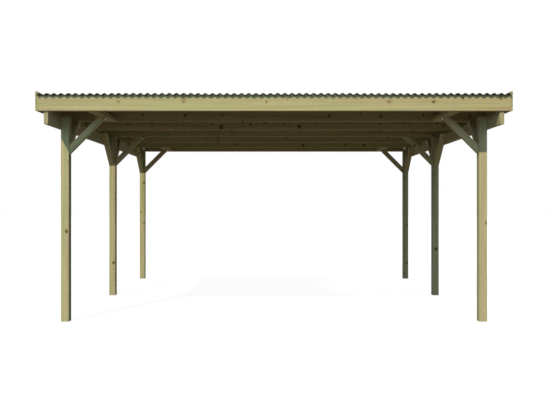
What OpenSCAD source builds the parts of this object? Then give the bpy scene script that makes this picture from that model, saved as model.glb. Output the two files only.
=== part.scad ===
// Six-post timber carport with a flat roof of corrugated sheets.
// The origin is on the ground at the middle of the plan.
// X runs across the carport, +Y from the front to the rear, +Z up.

/* [Plan] */
// Width over the outer faces of the two rows of posts
post_row_w = 4860; // [3000:10:6000]
// Distance between post centres along a row
bay = 2055; // [1500:5:3000]
// How far the rafters' end grain stands outside the beams
rafter_tail = 65; // [20:5:200]
// Length of the roof frame, front of first rafter to back of last
frame_l = 5000; // [4300:10:7000]

/* [Heights] */
// Clear height under the side beams
beam_clear_h = 2200; // [1900:10:2600]
// Height of the feet of the braces above the ground
brace_foot_h = 1910; // [1500:5:2000]

/* [Timber sections] */
// Side of the square posts
post_w = 90; // [70:5:140]
// Thickness of beams and rafters
plank_t = 45; // [30:5:70]
// Depth of the side beams
beam_h = 140; // [95:5:220]
// Depth of the rafters
rafter_h = 165; // [95:5:220]
// Number of rafters
rafter_n = 7; // [5:2:9]
// Thickness of a brace
brace_t = 45; // [30:5:70]
// Width of the long braces across the carport
long_brace_w = 70; // [45:5:90]
// Depth of a brace, measured square to its length
brace_h = 75; // [60:5:120]
// Width of the flat blocks that take the heads of the end braces
block_w = 115; // [105:5:180]

/* [Fascia] */
// Thickness of the fascia boards
fascia_t = 20; // [15:1:30]
// Depth of the side fascias
side_fascia_h = 210; // [190:5:260]

/* [Roof sheets] */
// Number of sheets side by side
sheet_n = 6; // [4:1:8]
// Waves that each sheet covers
sheet_waves = 11; // [8:1:14]
// Height of the waves
wave_h = 18; // [12:1:30]
// Thickness of a sheet, measured straight up
sheet_t = 1.5; // [1:0.5:3]
// How far the sheets stand out past the front and rear fascias
sheet_nose = 35; // [0:5:60]

/* [Hidden] */

pine = [0.69, 0.66, 0.49];
pine_shade = [0.55, 0.53, 0.38];
sheet_grey = [0.17, 0.18, 0.19];

post_x = post_row_w / 2 - post_w / 2;            // centre line of a row of posts
post_in_x = post_row_w / 2 - post_w;             // inner face of a row of posts
beam_out_x = post_row_w / 2 + plank_t;           // outer face of a side beam
rafter_half_l = beam_out_x + rafter_tail;
frame_top = beam_clear_h + beam_h;               // top of posts and beams
sheet_z = frame_top + rafter_h;                  // underside of the sheets' troughs
rafter_gap = (frame_l - plank_t) / (rafter_n - 1);
fascia_out_y = frame_l / 2 + fascia_t;
brace_rise = frame_top - brace_foot_h;           // height from a brace's foot to its head
brace_cut = brace_h * sqrt(2);                   // length of a brace's level or plumb end cut
wave_pitch = 2 * rafter_half_l / (sheet_n * sheet_waves);
wave_steps = 12;                                 // straight facets in one wave

rows = ["front", "middle", "rear"];
sides = ["left", "right"];

function side_sign(side) = side == "left" ? -1 : 1;
function row_y(row) = row == "front" ? -bay : row == "rear" ? bay : 0;
function rafter_y(i) = -frame_l / 2 + plank_t / 2 + i * rafter_gap;
function wave_z(w) = wave_h / 2 * (1 - cos(360 * w));

// A box given by its middle in X and Y, its underside and its size
module timber(x, y, z, size)
    translate([x, y, z + size[2] / 2]) cube(size, center = true);

// Profile of a 45-degree brace: plumb foot cut on the post, level head cut on top
module brace_profile()
    polygon([
        [0, 0],
        [brace_rise, brace_rise],
        [brace_rise - brace_cut, brace_rise],
        [0, brace_cut]
    ]);

module post(row, side)
    color(pine)
        timber(side_sign(side) * post_x, row_y(row), 0, [post_w, post_w, frame_top]);

module side_beam(side)
    color(pine)
        timber(side_sign(side) * (beam_out_x - plank_t / 2), 0, beam_clear_h,
               [plank_t, frame_l, beam_h]);

module rafter(i)
    color(pine_shade)
        timber(0, rafter_y(i), frame_top, [2 * rafter_half_l, plank_t, rafter_h]);

// Flat timber between the two rafters nearest an end post, over the head of its cross brace
module brace_block(row, side) {
    s = side_sign(side);
    end = row == "front" ? -1 : 1;
    head_x = post_in_x - brace_rise + brace_cut / 2;
    color(pine_shade)
        timber(s * head_x, end * (frame_l / 2 - plank_t / 2 - rafter_gap / 2), frame_top,
               [block_w, rafter_gap - plank_t, plank_t]);
}

// Brace from a post's inner face up towards the middle of the roof
module cross_brace(row, side)
    color(pine_shade)
        mirror([side == "left" ? 0 : 1, 0, 0])
            translate([-post_in_x, row_y(row) + brace_t / 2, brace_foot_h])
                rotate([90, 0, 0]) linear_extrude(brace_t) brace_profile();

// Brace along a side beam: 1 leans back from the front post, 2 and 3 lean forward and back
// from the middle post, 4 leans forward from the rear post
module long_brace(number, side) {
    y = [-bay, 0, 0, bay][number - 1];
    lean = [1, -1, 1, -1][number - 1];
    x_out = post_row_w / 2;
    color(pine_shade)
        mirror([side == "left" ? 0 : 1, 0, 0])
            translate([-x_out, y + lean * post_w / 2, brace_foot_h])
                mirror([0, lean == 1 ? 0 : 1, 0])
                    rotate([90, 0, 90]) linear_extrude(long_brace_w) brace_profile();
}

module fascia_end(row)
    color(pine)
        timber(0, (row == "front" ? -1 : 1) * (fascia_out_y - fascia_t / 2), frame_top,
               [2 * rafter_half_l, fascia_t, rafter_h]);

module fascia_side(side)
    color(pine)
        timber(side_sign(side) * (rafter_half_l + fascia_t / 2), 0, frame_top,
               [fascia_t, 2 * fascia_out_y, side_fascia_h]);

// One corrugated sheet. Every second sheet lies on its neighbours and laps them by one wave.
module roof_sheet(i) {
    over = i % 2;
    first = i * sheet_waves - (over ? 0.5 : 0);
    last = (i + 1) * sheet_waves + (over && i < sheet_n - 1 ? 0.5 : 0);
    steps = (last - first) * wave_steps;
    top = [for (k = [0:steps]) let (w = first + k / wave_steps)
        [w * wave_pitch, wave_z(w) + (over + 1) * sheet_t]];
    under = [for (k = [steps:-1:0]) let (w = first + k / wave_steps)
        [w * wave_pitch, wave_z(w) + over * sheet_t]];
    nose_y = fascia_out_y + sheet_nose;
    color(sheet_grey)
        translate([-rafter_half_l, nose_y, sheet_z])
            rotate([90, 0, 0]) linear_extrude(2 * nose_y) polygon(concat(top, under));
}

for (row = rows) for (side = sides) {
    post(row, side);
    cross_brace(row, side);
}
for (side = sides) {
    side_beam(side);
    fascia_side(side);
    for (row = ["front", "rear"])
        brace_block(row, side);
    for (number = [1:4])
        long_brace(number, side);
}
for (i = [0:rafter_n - 1])
    rafter(i);
for (row = ["front", "rear"])
    fascia_end(row);
for (i = [0:sheet_n - 1])
    roof_sheet(i);
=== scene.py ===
"""Looks of a six-post timber carport with a flat corrugated roof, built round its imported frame.

Every timber is a planed, pressure-treated pine section with eased edges and its own solid grain.
The roof is smooth sine-wave sheet, and the screws, bolts and angle brackets are made true to size.
Lengths are in metres. X runs across the carport, +Y from the front to the rear, +Z up.
"""

import bpy
import numpy as np
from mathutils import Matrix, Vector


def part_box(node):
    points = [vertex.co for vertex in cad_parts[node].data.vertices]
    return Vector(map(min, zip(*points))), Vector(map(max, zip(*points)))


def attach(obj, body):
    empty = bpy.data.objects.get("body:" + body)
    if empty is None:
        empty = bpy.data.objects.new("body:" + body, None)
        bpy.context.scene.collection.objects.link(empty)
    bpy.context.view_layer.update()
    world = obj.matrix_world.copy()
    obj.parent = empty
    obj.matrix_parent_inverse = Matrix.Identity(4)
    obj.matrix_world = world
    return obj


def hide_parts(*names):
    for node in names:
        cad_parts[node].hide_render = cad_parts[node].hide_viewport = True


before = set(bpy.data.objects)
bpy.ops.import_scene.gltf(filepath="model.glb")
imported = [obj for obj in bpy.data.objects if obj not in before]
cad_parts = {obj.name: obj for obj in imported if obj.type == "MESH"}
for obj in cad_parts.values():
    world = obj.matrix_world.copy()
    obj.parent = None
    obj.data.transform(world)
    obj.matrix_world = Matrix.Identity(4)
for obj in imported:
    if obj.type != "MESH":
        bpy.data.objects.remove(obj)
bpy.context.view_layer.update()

MM = 0.001
ROWS = ("front", "middle", "rear")
SIDES = {"left": -1, "right": 1}
RAFTERS = [f"rafter_{number}" for number in range(1, 8)]
SHEETS = [f"roof_sheet_{number}" for number in range(1, 7)]

EASED_EDGE = 3 * MM         # radius that the planer leaves along each edge
SAWN_ARRIS = 0.8 * MM       # edge of a saw cut across the end
CORNER_STEPS = 3
RING_SPACING = 0.30         # distance between rings of points along a timber
BRACE_DEPTH = 75 * MM       # square to the length of a 45-degree brace
BOARD_SHRINKAGE = 0.5 * MM  # of each face of a thin board as it dries
BOARD_PAINTED_SHADE_TOP = 0.36       # painted shade: a fascia is this share darker at its top, under the roof's edge, than at its lower edge

WAVES = 66                  # in the whole roof
WAVE_STEPS = 24             # facets in one wave
SHEET_ROWS = 15             # of points along a sheet
SHEET_GAUGE = 1.0 * MM

BRACKET_LEG = 90 * MM
BRACKET_WIDTH = 45 * MM
BRACKET_GAUGE = 2.5 * MM
BRACKET_HOLES = [(aside * MM, along * MM) for along in (36, 72) for aside in (-12, 12)]
BRACKET_SCREW = 8 * MM      # heads of screws and bolts are given by their diameter
BRACE_SCREW = 17 * MM
BOARD_SCREW = 7.5 * MM
BEAM_BOLT = 26 * MM
BEAM_BOLT_SPOTS = ((-22 * MM, 40 * MM), (22 * MM, 100 * MM))  # along the beam, down from its top
CREST_STEP = 3              # a roof screw sits on every third crest

draw = np.random.default_rng(13)


# --- Meshes -----------------------------------------------------------------------------------

def grid_faces(rows, columns, closed):
    """Quads of a grid of rows x columns points, facing the side where the row direction crossed
    with the column direction points. A closed grid joins its last column to its first."""
    row, column = np.meshgrid(np.arange(rows - 1), np.arange(columns - (not closed)), indexing="ij")
    beside = (column + 1) % columns
    corners = (row * columns + column, row * columns + beside,
               (row + 1) * columns + beside, (row + 1) * columns + column)
    return np.stack(corners, -1).reshape(-1, 4)


def piece(name, points, faces, material, smooth_angle=0.6):
    """One mesh object at the origin that rides on the carport's only body."""
    mesh = bpy.data.meshes.new(name)
    mesh.from_pydata(points.reshape(-1, 3).tolist(), [], faces)
    mesh.materials.append(material)
    mesh.shade_smooth()
    mesh.set_sharp_from_angle(angle=smooth_angle)
    made = bpy.data.objects.new(name, mesh)
    bpy.context.scene.collection.objects.link(made)
    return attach(made, "root")


def skins(rings):
    """Closed skins over rings of points, array (copies, rings, points round, 3). Each copy is its
    rings joined in order, with a flat cap on its first and last ring. Rings run anticlockwise
    seen from the last one, so the faces point outwards."""
    copies, count, around = rings.shape[:3]
    first = (np.arange(copies) * count * around)[:, None]
    walls = grid_faces(count, around, closed=True)
    faces = (first[:, :, None] + walls[None]).reshape(-1, 4).tolist()
    faces += (first + np.arange(around)[::-1]).tolist()
    faces += (first + (count - 1) * around + np.arange(around)).tolist()
    return faces


def plate(top, under):
    """Points and faces of a closed plate between two grids of the same shape. The top grid's rows
    crossed with its columns point out of the plate."""
    rows, columns = top.shape[:2]
    number = np.arange(rows * columns).reshape(rows, columns)
    rim = np.concatenate([number[0, :-1], number[:-1, -1], number[-1, :0:-1], number[:0:-1, 0]])
    following = np.roll(rim, -1)
    below = rows * columns
    face = grid_faces(rows, columns, closed=False)
    wall = np.stack([rim, rim + below, following + below, following], -1)
    faces = np.concatenate([face, face[:, ::-1] + below, wall])
    return np.concatenate([top.reshape(-1, 3), under.reshape(-1, 3)]), faces.tolist()


def placed(rings, places, axes):
    """Copies of one set of rings (rings, points round, 3), with its Z turned to each axis and its
    origin at each place: x times one side direction, y times the other, z times the axis."""
    axes = np.asarray(axes, float)
    helper = np.where(np.abs(axes[:, 2:3]) > 0.9, [[1.0, 0, 0]], [[0, 0, 1.0]])
    side = np.cross(helper, axes)
    side /= np.linalg.norm(side, axis=1, keepdims=True)
    turned = np.stack([side, np.cross(axes, side), axes], 1)
    return np.einsum("kmi,nij->nkmj", rings, turned) + np.asarray(places)[:, None, None, :]


# --- Timbers ----------------------------------------------------------------------------------

def store(mesh, name, values):
    """Writes one vector a point, which the materials read by name."""
    attribute = mesh.attributes.new(name, "FLOAT_VECTOR", "POINT")
    attribute.data.foreach_set("vector", values.astype(np.float32).ravel())


def timber(node, origin, axes, width, depth, ends, material, painted_shade_top=0.0):
    """A sawn length: a rectangle width x depth with quarter-round corners, carried along the third
    axis. ends gives (offset, slope) of the start and of the finish: a cut lies at offset + slope
    times the distance over the section's depth, so slope 0 is square and 1 is a 45-degree cut.
    Each end has a small arris: its last ring is drawn in by as much as it stands further out.
    The last argument is painted shade: the share by which the upper edge is darker than the lower edge."""
    turn = np.linspace(0, np.pi / 2, CORNER_STEPS + 1)[None] + np.arange(4)[:, None] * np.pi / 2
    round_dir = np.stack([np.cos(turn), np.sin(turn)], -1)
    half = np.array([width, depth]) / 2
    corner = np.array([[1, 1], [-1, 1], [-1, -1], [1, -1]]) * (half - EASED_EDGE)
    length = ends[1][0] - ends[0][0]
    inner = np.linspace(0, 1, max(2, int(length / RING_SPACING) + 1))
    share = np.concatenate([[0], inner, [1]])
    drawn_in = np.zeros_like(share)
    drawn_in[[0, -1]] = SAWN_ARRIS
    set_back = np.zeros_like(share)
    set_back[1], set_back[-2] = SAWN_ARRIS, -SAWN_ARRIS

    radius = (EASED_EDGE - drawn_in)[:, None, None, None]
    section = (corner[None, :, None] + radius * round_dir[None]).reshape(len(share), -1, 2)
    over = section[..., 1]
    cuts = [offset + slope * over for offset, slope in ends]
    along = cuts[0] + (cuts[1] - cuts[0]) * share[:, None] + set_back[:, None]
    local = np.concatenate([section, along[..., None]], -1)
    points = local @ np.asarray(axes, float) + np.asarray(origin, float)

    made = piece(f"{node}_timber", points, skins(points[None]), material)
    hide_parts(node)

    # The pith runs beside the timber, off one of its wide faces, and leans a little along it.
    thin, wide = (0, 1) if width <= depth else (1, 0)
    thickness = min(width, depth)
    flip = draw.choice([-1, 1])
    heart = thickness / 2 + draw.uniform(0.012, 0.045)
    aside = draw.uniform(-0.35, 0.35) * max(width, depth)
    lean = draw.uniform(-0.004, 0.004)
    grain = np.stack([
        flip * local[..., thin] + heart + lean * local[..., 2],
        flip * local[..., wide] - aside + draw.uniform(-0.003, 0.003) * local[..., 2],
        local[..., 2] + draw.uniform(0, 40),
    ], -1)
    end_grain = np.broadcast_to((drawn_in > 0)[:, None], over.shape)
    height = (points[..., 2] - points[..., 2].mean()) / np.ptp(points[..., 2])
    # Painted shade: a random tone, less a darkening towards the top that stands for shade under the
    # roof's edge
    tone_and_painted_shade = draw.uniform(0.95, 1.05) - painted_shade_top * height
    warmth = np.full_like(over, draw.uniform(-0.06, 0.06))
    store(made.data, "grain", grain)
    store(made.data, "board", np.stack([tone_and_painted_shade, end_grain, warmth], -1))
    return made


def straight_timber(node, material, slot, shrinkage=0.0, painted_shade_top=0.0):
    """A timber that fills its node's box, with its length along the box's longest side. A board
    that has dried is thinner by its shrinkage on each long face."""
    low, high = (np.array(corner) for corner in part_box(node))
    size = high - low
    lengthwise = int(size.argmax())
    order = [(lengthwise + 1) % 3, (lengthwise + 2) % 3, lengthwise]
    middle = (low + high) / 2
    middle[lengthwise] = low[lengthwise]
    width, depth, length = size[order] - [2 * shrinkage, 2 * shrinkage, 0]
    return timber(node, middle, np.eye(3)[order], width, depth, ((0, 0), (length, 0)), material,
                  painted_shade_top)


def brace_timber(node, inward, level_axis, material):
    """A 45-degree brace in its node's box, from a plumb foot cut up to a level head cut.
    inward is the level direction in which it climbs, and level_axis is the box side it follows."""
    low, high = (np.array(corner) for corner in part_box(node))
    flat = 1 - level_axis
    climb = np.zeros(3)
    climb[level_axis], climb[2] = inward, 1
    climb /= np.sqrt(2)
    upward = np.array([0, 0, 1.0])
    over = upward * np.sqrt(2) - climb
    foot = (low + high) / 2
    foot[level_axis] = low[level_axis] if inward > 0 else high[level_axis]
    foot[2] = low[2]
    axes = np.array([np.cross(over, climb), over, climb])
    half = BRACE_DEPTH / 2
    reach = (high[2] - low[2]) * np.sqrt(2)
    return timber(node, foot + over * half, axes, high[flat] - low[flat], BRACE_DEPTH,
                  ((half, 1), (reach - half, -1)), material)


# --- Roof -------------------------------------------------------------------------------------

def roof_sheet(node, material):
    """A corrugated sheet: height is half the wave height times one minus the cosine of the way
    along the wave, the same at every Y, and the underside is one gauge lower."""
    low, high = (np.array(corner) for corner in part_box(node))
    pitch = roof_width / WAVES
    steps = int(round((high[0] - low[0]) / pitch * WAVE_STEPS))
    x = np.linspace(low[0], high[0], steps + 1)
    y = np.linspace(low[1], high[1], SHEET_ROWS)
    wave = wave_height / 2 * (1 - np.cos(2 * np.pi * (x - roof_left) / pitch))
    z = low[2] + wave
    top = np.stack(np.broadcast_arrays(x[None, :], y[:, None], z[None, :] + SHEET_GAUGE), -1)
    points, faces = plate(top[:, ::-1], top[:, ::-1] - [0, 0, SHEET_GAUGE])
    made = piece(f"{node}_steel", points, faces, material, smooth_angle=0.9)
    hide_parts(node)
    return made


# --- Fixings ----------------------------------------------------------------------------------

def turned(radii, heights, around):
    """Rings of a turned shape: each radius carried round the Z axis at its height."""
    turn = np.linspace(0, 2 * np.pi, around, endpoint=False)
    circle = np.stack([np.cos(turn), np.sin(turn), np.zeros(around)], -1)
    rings = np.asarray(radii)[:, None, None] * circle[None]
    rings[..., 2] = np.asarray(heights)[:, None]
    return rings


def washer_head(diameter, around=20, dome_rings=6):
    """Head of a wood screw with a pressed washer: thin flange, domed middle and driver socket.
    The dome's height over the flange follows a quarter ellipse."""
    r = diameter / 2
    dome = np.linspace(0, 1, dome_rings)
    radii = [r * 0.96, r, r * 0.97, *(r * (0.74 - 0.42 * dome ** 1.6)), r * 0.28, r * 0.10]
    lift = r * 0.24 + r * 0.20 * np.sqrt(1 - (1 - dome) ** 2)
    heights = [0, r * 0.08, r * 0.20, *lift, r * 0.26, r * 0.22]
    return turned(radii, heights, around)


def flush_head(diameter, around=16):
    """Head of a countersunk screw: a flat disc just proud of the board, with a driver socket."""
    r = diameter / 2
    proud = 0.4 * MM
    radii = [r * 0.98, r, r * 0.93, r * 0.42, r * 0.34, r * 0.12]
    heights = [-0.5 * MM, proud * 0.4, proud, proud, -0.8 * MM, -1.0 * MM]
    return turned(radii, heights, around)


def coach_bolt_head(diameter, around=28):
    """Flat washer and the mushroom head of a coach bolt, whose rise follows a circle's arc."""
    r = diameter / 2
    arc = np.linspace(1, 0.08, 8)
    radii = [r, r, r * 0.74, *(r * 0.72 * arc)]
    heights = [0, 2.0 * MM, 2.2 * MM, *(2.4 * MM + 4.6 * MM * np.sqrt(1 - arc ** 2))]
    return turned(radii, heights, around)


def roof_screw_head():
    """Hexagon head on its flange, of a self-drilling roof screw, with few faces."""
    return turned([7.0 * MM, 7.0 * MM, 4.6 * MM, 4.6 * MM, 3.6 * MM],
                  [1.6 * MM, 2.8 * MM, 3.2 * MM, 7.2 * MM, 7.8 * MM], 6)


def sealing_washer():
    """Rubber washer under a roof screw, squeezed to a low bulge."""
    return turned([8.2 * MM, 9.0 * MM, 8.4 * MM], [-0.6 * MM, 0.6 * MM, 1.8 * MM], 12)


def fixings(name, rings, places, axes, material):
    """Many fixings of one form in one joined mesh."""
    copies = placed(rings, places, axes)
    return piece(name, copies, skins(copies), material)


def bracket_grids(corner, run):
    """Two faces of an angle bracket. Its middle line goes down one leg, round a small arc and out
    along the other; a pressed rib stands out of the bend as a raised cosine across the width,
    and fades to nothing along both legs as a squared cosine."""
    bend = 5 * MM
    straight = BRACKET_LEG - bend
    leg_steps = 13
    down = np.linspace(straight, 0, leg_steps + 1)[:-1]
    arc = np.linspace(0, np.pi / 2, 7)
    y = np.concatenate([0 * down, bend * (1 - np.cos(arc)), bend + down[::-1]])
    z = np.concatenate([bend + down, bend * (1 - np.sin(arc)), 0 * down])
    normal_y = np.concatenate([0 * down + 1, np.cos(arc), 0 * down])
    normal_z = np.concatenate([0 * down, np.sin(arc), 0 * down + 1])
    travel = np.concatenate([-down - bend, bend * (arc / (np.pi / 2) * 2 - 1), down[::-1] + bend])

    across_steps = 24
    across = np.linspace(-BRACKET_WIDTH / 2, BRACKET_WIDTH / 2, across_steps + 1)
    rib_half, rib_reach, rib_rise = 6 * MM, 42 * MM, 3.5 * MM
    over = np.clip(np.abs(across) / rib_half, 0, 1)
    fade = np.cos(np.clip(np.abs(travel) / rib_reach, 0, 1) * np.pi / 2) ** 2
    rib = rib_rise * (0.5 + 0.5 * np.cos(np.pi * over))[None, :] * fade[:, None]

    grids = []
    for level in (BRACKET_GAUGE, 0.0):
        lift = level + rib
        grids.append(np.stack([
            corner[0] + np.broadcast_to(across[None, :], rib.shape),
            corner[1] + run * (y[:, None] + normal_y[:, None] * lift),
            corner[2] + z[:, None] + normal_z[:, None] * lift,
        ], -1))
    if run > 0:
        return grids[0][:, ::-1], grids[1][:, ::-1]
    return grids


# --- Materials --------------------------------------------------------------------------------

def linear(code):
    """An sRGB hex colour as linear RGBA."""
    part = np.array([int(code[start:start + 2], 16) for start in (1, 3, 5)]) / 255
    curve = np.where(part <= 0.04045, part / 12.92, ((part + 0.055) / 1.055) ** 2.4)
    return (*curve.tolist(), 1.0)


def add(tree, kind, feeds=None, out=0, stops=None, **settings):
    """Adds a node, sets it up, and gives each named or numbered input its value or its link.
    Returns output number or name out, or the node itself where out is None."""
    made = tree.nodes.new("ShaderNode" + kind)
    for name, value in settings.items():
        setattr(made, name, value)
    for number, (place, colour) in enumerate(stops or []):
        ramp = made.color_ramp.elements
        stop = ramp[number] if number < 2 else ramp.new(place)
        stop.position, stop.color = place, colour
    for socket, value in (feeds or {}).items():
        if isinstance(value, bpy.types.NodeSocket):
            tree.links.new(value, made.inputs[socket])
        else:
            made.inputs[socket].default_value = value
    return made if out is None else made.outputs[out]


def blank(name):
    """A new material with an empty tree."""
    material = bpy.data.materials.new(name)
    material.use_nodes = True
    material.node_tree.nodes.clear()
    return material, material.node_tree


def treated_pine(name, early, late, knots):
    """Planed pine, pressure treated with a copper salt. The eye gets a pale straw face gone
    olive from the salt, darker growth lines that run with the length and bend round a few brown
    knots, soft green and pinkish streaks, a matt planed surface and duller, darker end grain."""
    ring = 4.5 * MM          # one year's growth
    fibre = 1.5 * MM         # real fibres are 0.04 mm wide; drawn coarser so that they show
    knot_turn = 1.1          # angle round the pith from one branch to the next, in radians
    knot_gap = 0.36          # from one whorl of branches to the next
    material, tree = blank(name)
    grain = add(tree, "Attribute", out="Vector", attribute_name="grain")
    board = add(tree, "SeparateXYZ", {0: add(tree, "Attribute", out="Vector", attribute_name="board")},
                out=None)
    tone_and_painted_shade, end_grain, warmth = board.outputs

    # Distance from the pith, and the turn round it
    spot = add(tree, "SeparateXYZ", {0: grain}, out=None)
    across = add(tree, "VectorMath", {0: grain, 1: (1, 1, 0)}, operation="MULTIPLY")
    radius = add(tree, "VectorMath", {0: across}, out="Value", operation="LENGTH")
    turn = add(tree, "Math", {0: spot.outputs[1], 1: spot.outputs[0]}, operation="ARCTAN2")

    # Knots: branches that leave the pith, one in some of the cells of turn and length
    cell = add(tree, "CombineXYZ", {
        0: add(tree, "Math", {0: turn, 1: knot_turn}, operation="DIVIDE"),
        1: add(tree, "Math", {0: spot.outputs[2], 1: knot_gap}, operation="DIVIDE"),
    })
    branch = add(tree, "TexVoronoi", {"Vector": cell, "Scale": 1.0, "Randomness": 0.85}, out=None,
                 voronoi_dimensions="2D", feature="F1")
    offset = add(tree, "VectorMath", {0: cell, 1: branch.outputs["Position"]}, operation="SUBTRACT")
    # A branch that slants to the wide face would leave a long spike, so its mark is squeezed back
    # towards the round knots of graded boards
    facing = add(tree, "Math", {0: spot.outputs[0]}, operation="ABSOLUTE")
    upright = add(tree, "Math", {0: facing, 1: 10 * MM}, operation="ADD")
    slant = add(tree, "Math", {0: radius, 1: upright}, operation="DIVIDE")
    round_way = add(tree, "Math", {0: radius, 1: knot_turn}, operation="MULTIPLY")
    reach = add(tree, "CombineXYZ", {
        0: add(tree, "Math", {0: round_way, 1: slant}, operation="MULTIPLY"),
        1: knot_gap,
    })
    apart = add(tree, "VectorMath", {0: offset, 1: reach}, operation="MULTIPLY")
    wobble = add(tree, "TexNoise", {"Vector": grain, "Scale": 90.0, "Detail": 2.0})
    away = add(tree, "Math", {
        0: wobble, 1: 5 * MM,
        2: add(tree, "VectorMath", {0: apart}, out="Value", operation="LENGTH"),
    }, operation="MULTIPLY_ADD")
    chance = add(tree, "SeparateColor", {0: branch.outputs["Color"]}, out=None)
    size = add(tree, "MapRange", {"Value": chance.outputs[0], "From Min": 1 - knots, "From Max": 1.0,
                                  "To Min": -2 * MM, "To Max": 24 * MM})
    inside = add(tree, "Math", {0: size, 1: away}, operation="SUBTRACT")
    knot = add(tree, "MapRange", {"Value": inside, "From Min": -1 * MM, "From Max": 1.5 * MM,
                                  "To Min": 0.0, "To Max": 1.0}, interpolation_type="SMOOTHSTEP")
    swirl = add(tree, "MapRange", {"Value": inside, "From Min": -32 * MM, "From Max": 0.0,
                                   "To Min": 0.0, "To Max": 1.0}, interpolation_type="SMOOTHERSTEP")

    # Growth rings: the distance from the pith, bent by slow noise and pushed out round a knot
    slow = add(tree, "VectorMath", {0: grain, 1: (9, 9, 1.3)}, operation="MULTIPLY")
    bend = add(tree, "TexNoise", {"Vector": slow, "Scale": 1.0, "Detail": 2.0})
    bent = add(tree, "Math", {0: bend, 1: 14 * MM, 2: radius}, operation="MULTIPLY_ADD")
    pushed = add(tree, "Math", {0: swirl, 1: 9 * MM, 2: bent}, operation="MULTIPLY_ADD")
    years = add(tree, "Math", {0: pushed, 1: ring}, operation="DIVIDE")
    season = add(tree, "Math", {0: years}, operation="FRACT")
    growth = add(tree, "ValToRGB", {0: season}, stops=[
        (0.0, (0, 0, 0, 1)), (0.35, (0.06, 0.06, 0.06, 1)), (0.86, (1, 1, 1, 1)),
        (0.94, (0.9, 0.9, 0.9, 1)), (1.0, (0, 0, 0, 1)),
    ])
    vigour = add(tree, "TexNoise", {"W": years, "Scale": 0.35, "Detail": 1.0}, noise_dimensions="1D")
    line = add(tree, "Math", {
        0: growth, 1: add(tree, "MapRange", {"Value": vigour, "From Min": 0.3, "From Max": 0.7,
                                             "To Min": 0.35, "To Max": 1.0}),
    }, operation="MULTIPLY")

    # Colour
    wood = add(tree, "Mix", {0: line, 6: linear(early), 7: linear(late)}, out=2, data_type="RGBA")
    long_way = add(tree, "VectorMath", {0: grain, 1: (34, 34, 0.7)}, operation="MULTIPLY")
    streak = add(tree, "TexNoise", {"Vector": long_way, "Scale": 1.0, "Detail": 3.0})
    salts = add(tree, "ValToRGB", {0: streak}, stops=[
        (0.28, linear("#E4E7D8")), (0.45, linear("#F4F3E9")), (0.58, linear("#FFFCF3")),
        (0.74, linear("#FFF6EA")),
    ])
    wood = add(tree, "Mix", {0: 1.0, 6: wood, 7: salts}, out=2, data_type="RGBA", blend_type="MULTIPLY")
    patchy = add(tree, "VectorMath", {0: grain, 1: (13, 13, 0.45)}, operation="MULTIPLY")
    patch = add(tree, "TexNoise", {"Vector": patchy, "Scale": 1.0, "Detail": 2.0})
    tint = add(tree, "Math", {0: warmth, 1: patch}, operation="ADD")
    cast = add(tree, "ValToRGB", {0: tint}, stops=[
        (0.36, linear("#F0FAE6")), (0.50, linear("#FFFEF6")), (0.66, linear("#FFF5EE")),
    ])
    wood = add(tree, "Mix", {0: 1.0, 6: wood, 7: cast}, out=2, data_type="RGBA", blend_type="MULTIPLY")
    fine_way = add(tree, "VectorMath", {0: grain, 1: (1 / fibre, 1 / fibre, 16)}, operation="MULTIPLY")
    fibres = add(tree, "TexNoise", {"Vector": fine_way, "Scale": 1.0, "Detail": 2.0})
    lightness = add(tree, "MapRange", {"Value": fibres, "From Min": 0.3, "From Max": 0.7,
                                       "To Min": 0.93, "To Max": 1.06})
    # The board's tone also carries the painted shade at the top of a fascia
    lightness = add(tree, "Math", {0: lightness, 1: tone_and_painted_shade}, operation="MULTIPLY")
    wood = add(tree, "VectorMath", {0: wood, "Scale": lightness}, operation="SCALE")

    # Knots are darkest at the bark round them, and some are hardly darker than the board
    rim = add(tree, "ValToRGB", {
        0: add(tree, "MapRange", {"Value": inside, "From Min": 0.0, "From Max": 6 * MM,
                                  "To Min": 0.0, "To Max": 1.0}),
    }, stops=[(0.0, linear("#2E2611")), (0.4, linear("#4E4122")), (1.0, linear("#6A582E"))])
    depth = add(tree, "MapRange", {"Value": chance.outputs[1], "From Min": 0.2, "From Max": 0.7,
                                   "To Min": 0.45, "To Max": 1.0})
    shaded = add(tree, "Math", {0: knot, 1: depth}, operation="MULTIPLY")
    wood = add(tree, "Mix", {0: shaded, 6: wood, 7: rim}, out=2, data_type="RGBA")
    ring_stain = add(tree, "Math", {0: swirl, 1: swirl}, operation="MULTIPLY")
    stain = add(tree, "Math", {0: ring_stain, 1: 0.16}, operation="MULTIPLY")
    wood = add(tree, "Mix", {0: stain, 6: wood, 7: linear("#8B7446")}, out=2, data_type="RGBA")

    # End grain soaks up more of the salt; hair-fine checks open along the faces here and there
    soaked = add(tree, "Math", {0: end_grain, 1: 0.30}, operation="MULTIPLY")
    wood = add(tree, "Mix", {0: soaked, 6: wood, 7: linear("#7F7B52")}, out=2, data_type="RGBA")
    split_way = add(tree, "VectorMath", {0: grain, 1: (120, 120, 3.2)}, operation="MULTIPLY")
    split = add(tree, "TexNoise", {"Vector": split_way, "Scale": 1.0, "Detail": 1.0})
    off_line = add(tree, "Math", {
        0: add(tree, "Math", {0: split, 1: 0.5}, operation="SUBTRACT")}, operation="ABSOLUTE")
    thread = add(tree, "MapRange", {"Value": off_line, "From Min": 0.012, "From Max": 0.004,
                                    "To Min": 0.0, "To Max": 1.0})
    where = add(tree, "MapRange", {"Value": patch, "From Min": 0.60, "From Max": 0.66,
                                   "To Min": 0.0, "To Max": 0.8})
    check = add(tree, "Math", {0: thread, 1: where}, operation="MULTIPLY")
    wood = add(tree, "Mix", {0: check, 6: wood, 7: linear("#4A3D26")}, out=2, data_type="RGBA")

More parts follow.
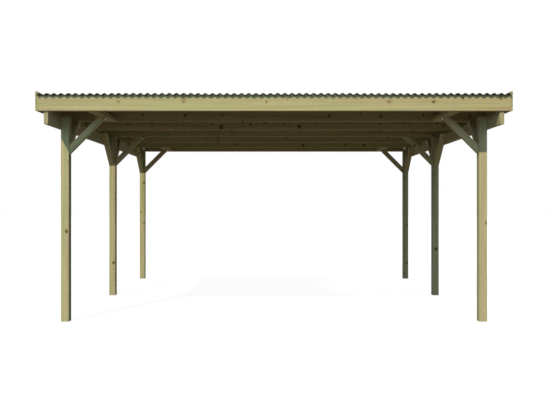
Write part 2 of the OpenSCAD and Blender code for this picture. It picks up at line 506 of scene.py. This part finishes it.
    # Hard late wood stands proud and checks sink; late wood and knots are also a little glossier
    relief = add(tree, "Math", {0: line, 1: 0.10, 2: fibres}, operation="MULTIPLY_ADD")
    sunk = add(tree, "Math", {0: check, 1: -2.0, 2: relief}, operation="MULTIPLY_ADD")
    normal = add(tree, "Bump", {"Height": sunk, "Strength": 0.5, "Distance": 0.25 * MM})
    sheen = add(tree, "Math", {0: line, 1: -0.06, 2: 0.80}, operation="MULTIPLY_ADD")
    rough = add(tree, "Math", {0: knot, 1: -0.14, 2: sheen}, operation="MULTIPLY_ADD")
    rough = add(tree, "Math", {0: end_grain, 1: 0.14, 2: rough}, operation="MULTIPLY_ADD")
    surface = add(tree, "BsdfPrincipled", {"Base Color": wood, "Roughness": rough, "Normal": normal,
                                           "IOR": 1.45, "Specular IOR Level": 0.08})
    add(tree, "OutputMaterial", {0: surface}, out=None)
    return material


def coil_coated_steel():
    """Cold-rolled steel, zinc coated, then painted dark grey on the coil before it was rolled to
    waves. The eye gets an even satin skin with faint orange peel, pale dust that the rain has left as
    streaks along the hollows of the waves, and the thin paler backing coat on the underside."""
    peel = 1.6 * MM          # real orange peel is near 1 mm
    material, tree = blank("coil_coated_steel")
    place = add(tree, "TexCoord", out="Object")
    spot = add(tree, "SeparateXYZ", {0: place}, out=None)
    hollow = add(tree, "MapRange", {"Value": spot.outputs[2], "From Min": trough_z + 0.55 * wave_height,
                                    "From Max": trough_z, "To Min": 0.0, "To Max": 1.0})
    long_way = add(tree, "VectorMath", {0: place, 1: (16, 1.1, 16)}, operation="MULTIPLY")
    streak = add(tree, "TexNoise", {"Vector": long_way, "Scale": 1.0, "Detail": 4.0})
    dusty = add(tree, "MapRange", {"Value": streak, "From Min": 0.40, "From Max": 0.72,
                                   "To Min": 0.05, "To Max": 0.55})
    dust = add(tree, "Math", {0: hollow, 1: dusty}, operation="MULTIPLY")
    batch = add(tree, "TexNoise", {"Vector": place, "Scale": 1.7, "Detail": 3.0})
    paint = add(tree, "ValToRGB", {0: batch}, stops=[(0.3, linear("#3E3736")), (0.7, linear("#473F3E"))])
    colour = add(tree, "Mix", {0: dust, 6: paint, 7: linear("#77756C")}, out=2, data_type="RGBA")
    facing = add(tree, "SeparateXYZ", {0: add(tree, "TexCoord", out="Normal")}, out="Z")
    underside = add(tree, "Math", {0: facing, 1: -0.1}, operation="LESS_THAN")
    colour = add(tree, "Mix", {0: underside, 6: colour, 7: linear("#978E88")}, out=2, data_type="RGBA")
    grit = add(tree, "TexNoise", {"Vector": place, "Scale": 1 / peel, "Detail": 1.0})
    normal = add(tree, "Bump", {"Height": grit, "Strength": 0.12, "Distance": 0.1 * MM})
    rough = add(tree, "MapRange", {"Value": dust, "From Min": 0.0, "From Max": 0.5,
                                   "To Min": 0.40, "To Max": 0.72})
    surface = add(tree, "BsdfPrincipled", {"Base Color": colour, "Roughness": rough, "Normal": normal,
                                           "IOR": 1.5, "Specular IOR Level": 0.25})
    add(tree, "OutputMaterial", {0: surface}, out=None)
    return material


def zinc_metal(name, pale, dull, grain_size, rough_low, rough_high):
    """Steel with a skin of zinc, either hot dipped or plated. The eye gets a grey-white metal whose
    crystals catch the light a little differently, each with its own gloss."""
    material, tree = blank(name)
    place = add(tree, "TexCoord", out="Object")
    crystal = add(tree, "TexVoronoi", {"Vector": place, "Scale": 1 / grain_size}, out="Color",
                  feature="F1")
    shade = add(tree, "SeparateColor", {0: crystal})
    cloud = add(tree, "TexNoise", {"Vector": place, "Scale": 60.0, "Detail": 3.0})
    amount = add(tree, "Math", {0: shade, 1: cloud}, operation="MULTIPLY")
    colour = add(tree, "ValToRGB", {0: amount}, stops=[(0.1, linear(dull)), (0.5, linear(pale))])
    rough = add(tree, "MapRange", {"Value": shade, "From Min": 0.0, "From Max": 1.0,
                                   "To Min": rough_low, "To Max": rough_high})
    normal = add(tree, "Bump", {"Height": cloud, "Strength": 0.15, "Distance": 0.2 * MM})
    surface = add(tree, "BsdfPrincipled", {"Base Color": colour, "Roughness": rough, "Normal": normal,
                                           "Metallic": 1.0})
    add(tree, "OutputMaterial", {0: surface}, out=None)
    return material


def coated_screw_steel():
    """Hardened steel screws with a baked olive coating, made to go unseen in treated timber."""
    material, tree = blank("coated_screw_steel")
    place = add(tree, "TexCoord", out="Object")
    wear = add(tree, "TexNoise", {"Vector": place, "Scale": 400.0, "Detail": 2.0})
    colour = add(tree, "ValToRGB", {0: wear}, stops=[(0.4, linear("#8E8560")), (0.65, linear("#A79E78"))])
    normal = add(tree, "Bump", {"Height": wear, "Strength": 0.2, "Distance": 0.1 * MM})
    surface = add(tree, "BsdfPrincipled", {"Base Color": colour, "Roughness": 0.5, "Normal": normal,
                                           "Metallic": 0.0})
    add(tree, "OutputMaterial", {0: surface}, out=None)
    return material


def sealing_rubber():
    """Moulded black EPDM rubber, matt and a little dusty."""
    material, tree = blank("sealing_rubber")
    place = add(tree, "TexCoord", out="Object")
    dust = add(tree, "TexNoise", {"Vector": place, "Scale": 220.0, "Detail": 2.0})
    colour = add(tree, "ValToRGB", {0: dust}, stops=[(0.35, linear("#1C1C1C")), (0.7, linear("#34332F"))])
    normal = add(tree, "Bump", {"Height": dust, "Strength": 0.2, "Distance": 0.2 * MM})
    surface = add(tree, "BsdfPrincipled", {"Base Color": colour, "Roughness": 0.8, "Normal": normal})
    add(tree, "OutputMaterial", {0: surface}, out=None)
    return material


# --- Stage ------------------------------------------------------------------------------------

def camera():
    """Level camera square to the front, at about half the carport's height."""
    lens = bpy.data.cameras.new("camera")
    lens.sensor_width = 36.0
    lens.lens = 40.19
    lens.shift_x = 0.0018
    lens.shift_y = -0.0013
    made = bpy.data.objects.new("camera", lens)
    made.location = (0.0, -9.0996, 1.327)
    made.rotation_euler = (np.pi / 2, 0, 0)
    bpy.context.scene.collection.objects.link(made)
    bpy.context.scene.camera = made


def lamp(name, travel, strength, angle, colour):
    """A distant lamp whose light travels in one direction."""
    light = bpy.data.lights.new(name, "SUN")
    light.energy, light.angle, light.color = strength, angle, colour
    made = bpy.data.objects.new(name, light)
    back = -np.array(travel, float)
    pitch = np.arccos(back[2] / np.linalg.norm(back))
    made.rotation_euler = (pitch, 0, np.arctan2(back[0], -back[1]))
    bpy.context.scene.collection.objects.link(made)


def front_panel():
    """A wide, cool studio panel in front of the carport and for the most part higher than its roof,
    hidden from the camera."""
    light = bpy.data.lights.new("front_panel", "AREA")
    light.shape, light.size, light.size_y = "RECTANGLE", 8.0, 4.0
    light.energy, light.color = 175.0, (0.46, 0.67, 0.98)
    made = bpy.data.objects.new("front_panel", light)
    made.location = (-1.9, -8.5, 4.0)
    made.rotation_euler = (np.pi / 2, 0, 0)
    made.visible_camera = made.visible_glossy = False
    bpy.context.scene.collection.objects.link(made)


def surround():
    """Soft cool light from above the horizon and dim warm light from below it. Reflections see an
    even pale grey, and the camera itself sees white behind the carport."""
    world = bpy.data.worlds.new("surround")
    bpy.context.scene.world = world
    world.use_nodes = True
    tree = world.node_tree
    tree.nodes.clear()
    up = add(tree, "SeparateXYZ", {0: add(tree, "TexCoord", out="Generated")}, out="Z")
    level = add(tree, "MapRange", {"Value": up, "From Min": -0.04, "From Max": 0.04,
                                   "To Min": 0.0, "To Max": 1.0})
    glow = add(tree, "Mix", {0: level, 6: (0.13, 0.121, 0.105, 1), 7: (0.19, 0.28, 0.38, 1)},
               out=2, data_type="RGBA")
    ray = add(tree, "LightPath", out=None)
    glint = add(tree, "Mix", {0: ray.outputs["Is Glossy Ray"], 6: glow, 7: (0.80, 0.80, 0.80, 1)},
                out=2, data_type="RGBA")
    shown = add(tree, "Mix", {0: ray.outputs["Is Camera Ray"], 6: glint, 7: (1, 1, 1, 1)},
                out=2, data_type="RGBA")
    add(tree, "OutputWorld", {0: add(tree, "Background", {0: shown, 1: 1.0})}, out=None)


def floor():
    """A plain pale floor. Its light doesn't bounce onto the carport: the surround gives that."""
    half = 60.0
    corners = np.array([[-half, -half, 0], [half, -half, 0], [half, half, 0], [-half, half, 0]])
    mesh = bpy.data.meshes.new("floor")
    mesh.from_pydata(corners.tolist(), [], [(0, 1, 2, 3)])
    material, tree = blank("pale_floor")
    surface = add(tree, "BsdfPrincipled", {"Base Color": (0.12, 0.12, 0.12, 1), "Roughness": 0.9,
                                           "Specular IOR Level": 0.0,
                                           "Emission Color": (1, 1, 1, 1), "Emission Strength": 0.92})
    add(tree, "OutputMaterial", {0: surface}, out=None)
    mesh.materials.append(material)
    made = bpy.data.objects.new("floor", mesh)
    made.visible_diffuse = made.visible_glossy = False
    bpy.context.scene.collection.objects.link(made)


# --- Assembly ---------------------------------------------------------------------------------

def add_timbers():
    """All the pine, in its five finishes."""
    kinds = {
        "post": (treated_pine("post_pine_planed", "#C0B896", "#AFA57B", 0.40), "post_pine"),
        "side_beam": (treated_pine("beam_pine_planed", "#C5BD9B", "#B0A57B", 0.40), "beam_pine"),
        "rafter": (treated_pine("rafter_pine_planed", "#BFB38A", "#A69869", 0.80), "rafter_pine"),
        "fascia": (treated_pine("fascia_pine_planed", "#BBB28B", "#AFA578", 0.40), "fascia_pine"),
    }
    # Fascias get painted shade, darker towards their tops
    extras = {"fascia": {"shrinkage": BOARD_SHRINKAGE, "painted_shade_top": BOARD_PAINTED_SHADE_TOP}}
    brace_pine = treated_pine("brace_pine_planed", "#CEC39B", "#B8AA7E", 0.35)
    kinds["brace_block"] = kinds["rafter"]
    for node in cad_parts:
        for kind, (material, slot) in kinds.items():
            if node.startswith(kind):
                straight_timber(node, material, slot, **extras.get(kind, {}))
    for side, out in SIDES.items():
        for row in ROWS:
            brace_timber(f"cross_brace_{row}_{side}", -out, 0, brace_pine)
        for number, lean in ((1, 1), (2, -1), (3, 1), (4, -1)):
            brace_timber(f"long_brace_{number}_{side}", lean, 1, brace_pine)


def add_roof():
    """Corrugated sheets with their screws on every third crest over each rafter."""
    steel = coil_coated_steel()
    for node in SHEETS:
        roof_sheet(node, steel)
    pitch = roof_width / WAVES
    crests = roof_left + pitch * (np.arange(1, WAVES, CREST_STEP) + 0.5)
    lines = [(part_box(rafter)[0].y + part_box(rafter)[1].y) / 2 for rafter in RAFTERS]
    x, y = (part.ravel() for part in np.meshgrid(crests, lines))
    crest_z = trough_z + wave_height + sheet_step + SHEET_GAUGE   # on the sheets that lap over
    places = np.stack([x, y, np.full_like(x, crest_z)], -1)
    up = np.tile([0, 0, 1.0], (len(x), 1))
    fixings("roof_screw_heads", roof_screw_head(), places, up, steel)
    fixings("roof_screw_washers", sealing_washer(), places, up, sealing_rubber())


def add_fixings():
    """Brackets between rafters and beams, bolts through beams, and the screws of braces and boards."""
    dipped = zinc_metal("galvanised_steel", "#F0EEE8", "#D5D3CC", 7 * MM, 0.38, 0.48)
    plated = zinc_metal("zinc_plated_steel", "#F0F0EC", "#CFD1D0", 2 * MM, 0.36, 0.48)
    dull = coated_screw_steel()
    screws, screw_axes = [], []
    for side, out in SIDES.items():
        beam_low, beam_high = (np.array(corner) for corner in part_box(f"side_beam_{side}"))
        beam_x = (beam_low[0] + beam_high[0]) / 2
        tops, unders = [], []
        for number, rafter in enumerate(RAFTERS, 1):
            low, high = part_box(rafter)
            run = -1 if number == len(RAFTERS) else 1
            face = low.y if run < 0 else high.y
            top, under = bracket_grids((beam_x, face, beam_high[2]), run)
            tops.append(top)
            unders.append(under)
            for aside, along in BRACKET_HOLES:
                screws.append((beam_x + aside, face + run * BRACKET_GAUGE, beam_high[2] + along))
                screw_axes.append((0, run, 0))
                screws.append((beam_x + aside, face + run * along, beam_high[2] + BRACKET_GAUGE))
                screw_axes.append((0, 0, 1))
        parts = [plate(top, under) for top, under in zip(tops, unders)]
        count = len(parts[0][0])
        points = np.concatenate([part[0] for part in parts])
        faces = [[corner + number * count for corner in face]
                 for number, part in enumerate(parts) for face in part[1]]
        brackets = piece(f"angle_brackets_{side}", points, faces, dipped, smooth_angle=0.7)

        bolts = []
        for row in ROWS:
            low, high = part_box(f"post_{row}_{side}")
            post_y = (low.y + high.y) / 2
            for aside, drop in BEAM_BOLT_SPOTS:
                bolts.append((beam_high[0] if out > 0 else beam_low[0], post_y + aside,
                              beam_high[2] - drop))
        fixings(f"beam_bolts_{side}", coach_bolt_head(BEAM_BOLT), bolts,
                np.tile([float(out), 0, 0], (len(bolts), 1)), dipped)
    small_head = washer_head(BRACKET_SCREW, around=8, dome_rings=2)
    fixings("bracket_screws", small_head, screws, screw_axes, plated)

    add_brace_screws(plated)
    add_fascia_screws(dull)


def add_brace_screws(metal):
    """One screw up through the head of each cross brace and one down through its foot; two screws
    through the head of each long brace into the beam beside it, and one through its foot."""
    places, axes = [], []
    slant = 1 / np.sqrt(2)
    in_from_tip = 23 * MM
    up_from_foot = 35 * MM
    head_pair = ((62 * MM, 28 * MM), (98 * MM, 66 * MM))    # back from the tip, down from the top
    for side, out in SIDES.items():
        for row in ROWS:
            low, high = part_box(f"cross_brace_{row}_{side}")
            tip = high.x if out < 0 else low.x
            foot = low.x if out < 0 else high.x
            y = (low.y + high.y) / 2
            places.append((tip + out * in_from_tip, y, high.z - in_from_tip))
            axes.append((-out * slant, 0, -slant))
            places.append((foot - out * up_from_foot, y,
                           low.z + up_from_foot + BRACE_DEPTH * np.sqrt(2)))
            axes.append((out * slant, 0, slant))
        for number, lean in ((1, 1), (2, -1), (3, 1), (4, -1)):
            low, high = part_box(f"long_brace_{number}_{side}")
            tip = high.y if lean > 0 else low.y
            foot = low.y if lean > 0 else high.y
            inner = high.x if out < 0 else low.x
            for back, drop in head_pair:
                places.append((inner, tip - lean * back, high.z - drop))
                axes.append((-out, 0, 0))
            places.append(((low.x + high.x) / 2, foot + lean * up_from_foot,
                           low.z + up_from_foot + BRACE_DEPTH * np.sqrt(2)))
            axes.append((0, -lean * slant, slant))
    fixings("brace_screws", washer_head(BRACE_SCREW), places, axes, metal)


def add_fascia_screws(metal):
    """Countersunk screws: pairs into each rafter's end through the side fascias, and pairs along
    the front and rear fascias into the first and last rafter."""
    places, axes = [], []
    rafter_low, rafter_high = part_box(RAFTERS[0])
    inset = 38 * MM             # from a board's or rafter's edges
    pairs_across = 9
    heights = (rafter_low.z + inset, rafter_high.z - inset)
    for side, out in SIDES.items():
        low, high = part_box(f"fascia_{side}")
        for rafter in RAFTERS:
            end_low, end_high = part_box(rafter)
            for z in heights:
                face = high.x - BOARD_SHRINKAGE if out > 0 else low.x + BOARD_SHRINKAGE
                places.append((face, (end_low.y + end_high.y) / 2, z))
                axes.append((out, 0, 0))
    for row, out in (("front", -1), ("rear", 1)):
        low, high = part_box(f"fascia_{row}")
        for x in np.linspace(low.x + inset, high.x - inset, pairs_across):
            for z in heights:
                face = high.y - BOARD_SHRINKAGE if out > 0 else low.y + BOARD_SHRINKAGE
                places.append((x, face, z))
                axes.append((0, out, 0))
    fixings("fascia_screws", flush_head(BOARD_SCREW), places, axes, metal)


roof_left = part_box(SHEETS[0])[0].x
roof_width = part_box(SHEETS[-1])[1].x - roof_left
trough_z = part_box(SHEETS[0])[0].z
sheet_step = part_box(SHEETS[1])[0].z - trough_z
wave_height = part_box(SHEETS[0])[1].z - trough_z - sheet_step

camera()
lamp("key", (0.52, 1.0, -0.98), 3.30, 0.02, (1.0, 0.90, 0.76))
front_panel()
lamp("rear_fill", (0.1, -1.0, -0.9), 0.9, 0.8, (0.97, 0.98, 1.0))
lamp("right_fill", (-1.0, 0.0, -1.4), 1.8, 0.2, (1.0, 0.96, 0.90))
surround()
floor()
add_timbers()
add_roof()
add_fixings()

bpy.context.scene.view_settings.view_transform = "Standard"
